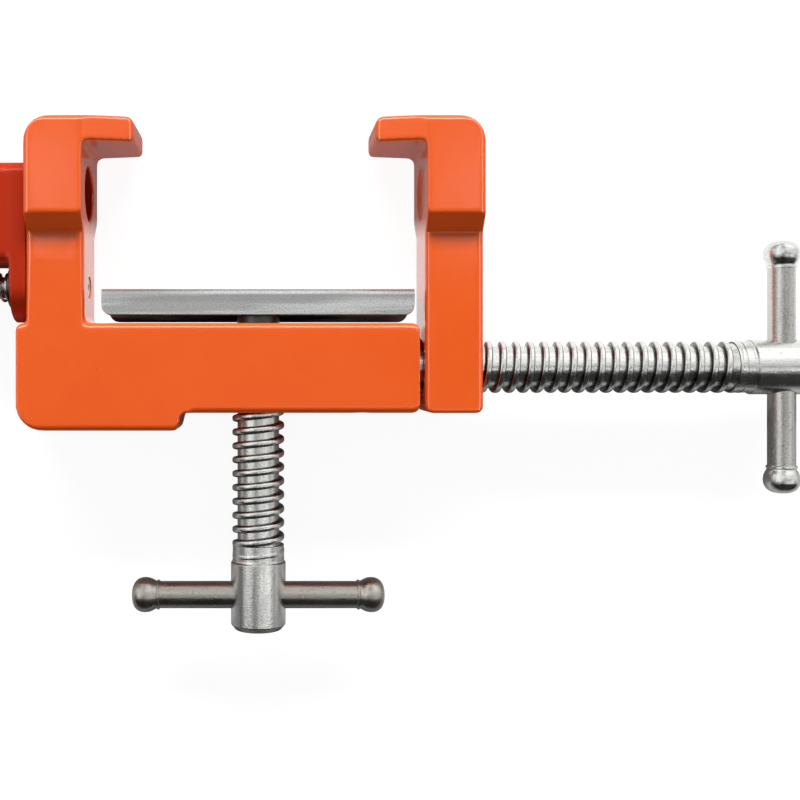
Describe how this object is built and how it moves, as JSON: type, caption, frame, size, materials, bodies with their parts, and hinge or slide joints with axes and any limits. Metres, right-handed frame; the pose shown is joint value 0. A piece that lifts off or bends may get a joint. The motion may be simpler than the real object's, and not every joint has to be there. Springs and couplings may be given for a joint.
{
  "type": "face frame clamp",
  "caption": "Cast clamp with a fixed and a screw-driven jaw, a screw-lifted pressure plate, loose T-bars and a swing-away drill guide, for joining cabinet face frames.",
  "frame": {"origin": "centre of the driver hole, where the drilling axis leaves the fixed jaw's clamping face", "axes": "it lies on its back: +X from the fixed jaw to the moving jaw, along the drilling axis; +Y from the beam up to the hooks; +Z out of the front"},
  "size_m": [0.2079, 0.1161, 0.024],
  "materials": {
    "orange_enamel": "gloss",
    "deep_orange_enamel": "gloss",
    "zinc_plate": "bright zinc plate",
    "dark_steel": "hardened, oiled"
  },
  "bodies": {
    "frame": {"body_casting": "orange_enamel", "retaining_pin_front": "dark_steel", "retaining_pin_rear": "dark_steel", "pivot_bolt": "zinc_plate", "pivot_spring": "zinc_plate"},
    "moving_jaw": {"moving_jaw": "orange_enamel", "guide_plate": "zinc_plate", "guide_screw_upper": "dark_steel", "guide_screw_lower": "dark_steel"},
    "clamp_screw": {"clamp_screw": "zinc_plate"},
    "clamp_bar": {"clamp_tommy_bar": "zinc_plate", "clamp_knob_upper": "zinc_plate", "clamp_knob_lower": "zinc_plate"},
    "lift_carrier": {"thrust_washer": "dark_steel"},
    "pressure_plate": {"pressure_plate": "zinc_plate"},
    "lift_screw": {"lift_screw": "zinc_plate"},
    "lift_bar": {"lift_tommy_bar": "zinc_plate", "lift_knob_left": "zinc_plate", "lift_knob_right": "zinc_plate"},
    "guide_slide": {"pivot_washer": "zinc_plate"},
    "drill_guide": {"drill_guide": "deep_orange_enamel", "drill_bushing": "dark_steel"}
  },
  "joints": [
    {"name": "clamp_screw_turn", "type": "hinge", "parent": "frame", "child": "clamp_screw", "pos_m": [0.0468, -0.0399, 0], "axis": [1, 0, 0], "range_deg": [-113, 5626]},
    {"name": "jaw_slide", "type": "slide", "parent": "frame", "child": "moving_jaw", "axis": [1, 0, 0], "range_m": [-0.001, 0.05]},
    {"name": "clamp_bar_slide", "type": "slide", "parent": "clamp_screw", "child": "clamp_bar", "axis": [0, 1, 0], "range_m": [-0.0162, 0.0162]},
    {"name": "plate_lift", "type": "slide", "parent": "frame", "child": "lift_carrier", "axis": [0, 1, 0], "range_m": [-0.0006, 0.0312]},
    {"name": "lift_screw_turn", "type": "hinge", "parent": "lift_carrier", "child": "lift_screw", "pos_m": [0.03895, -0.0249, 0], "axis": [0, 1, 0], "range_deg": [-68, 3511]},
    {"name": "plate_swivel", "type": "hinge", "parent": "lift_carrier", "child": "pressure_plate", "pos_m": [0.03895, -0.0223, 0], "axis": [0, 1, 0], "continuous": true},
    {"name": "lift_bar_slide", "type": "slide", "parent": "lift_screw", "child": "lift_bar", "axis": [1, 0, 0], "range_m": [-0.0162, 0.0162]},
    {"name": "guide_pull", "type": "slide", "parent": "frame", "child": "guide_slide", "axis": [-1, 0, 0], "range_m": [0, 0.003], "stiffness_N_per_m": 1600, "springref_m": -0.005, "deforming": ["pivot_spring"]},
    {"name": "guide_swing", "type": "hinge", "parent": "guide_slide", "child": "drill_guide", "pos_m": [-0.017, -0.0216, 0], "axis": [1, 0, 0], "range_deg": [-90, 90]}
  ],
  "couplings": [
    {"joint": "clamp_screw_turn", "follows": "jaw_slide", "rad_per_m": 1963.5},
    {"joint": "lift_screw_turn", "follows": "plate_lift", "rad_per_m": 1963.5}
  ]
}
